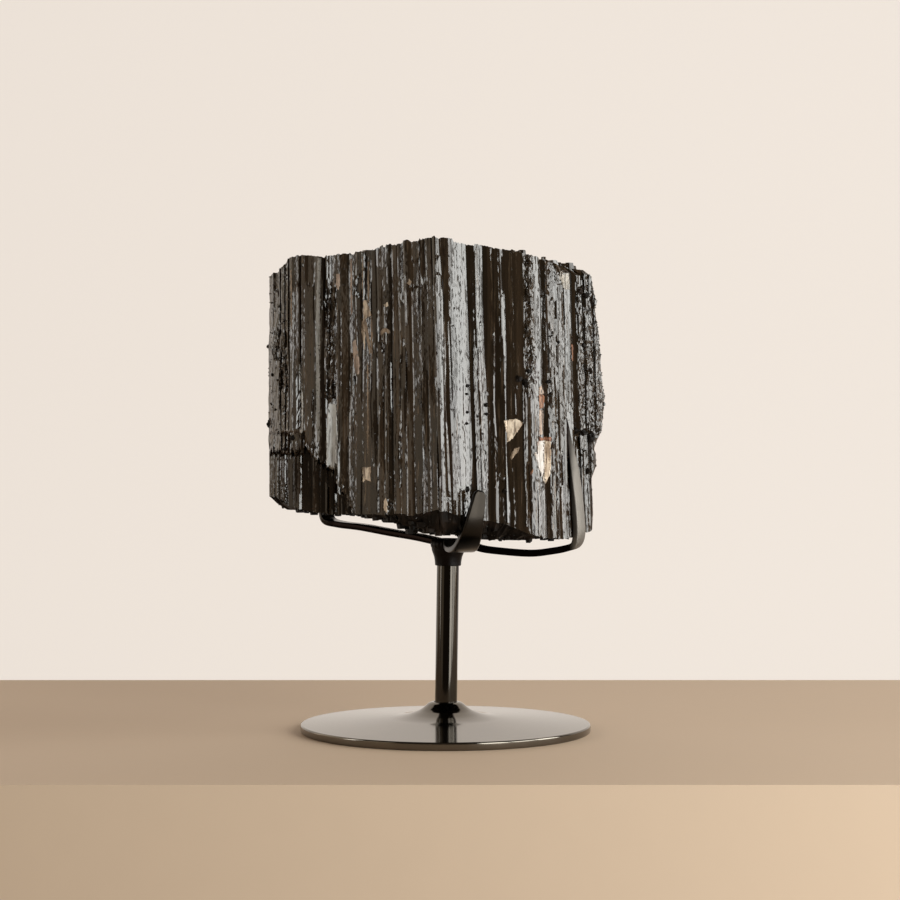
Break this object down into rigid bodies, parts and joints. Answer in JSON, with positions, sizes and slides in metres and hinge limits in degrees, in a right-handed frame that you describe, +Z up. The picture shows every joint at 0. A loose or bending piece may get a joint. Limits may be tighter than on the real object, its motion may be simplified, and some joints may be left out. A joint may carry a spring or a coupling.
{
  "type": "black tourmaline on stand",
  "caption": "Rough black tourmaline, a block of parallel striated crystals, cradled by curved flat metal arms on a slim post with a round flared base.",
  "frame": {"origin": "centre of the base's flat underside", "axes": "+Z up along the post, +X to the right of the front view, +Y to the back"},
  "size_m": [0.1745, 0.15, 0.2503],
  "materials": {
    "gunmetal": "satin black-nickel plating over steel",
    "tourmaline": "natural glassy crystal faces, striated, with rough broken ends"
  },
  "bodies": {
    "root": {"base": "gunmetal", "post": "gunmetal", "ferrule": "gunmetal", "left_arm": "gunmetal", "right_arm": "gunmetal", "front_arm": "gunmetal", "tourmaline": "tourmaline"}
  },
  "joints": []
}
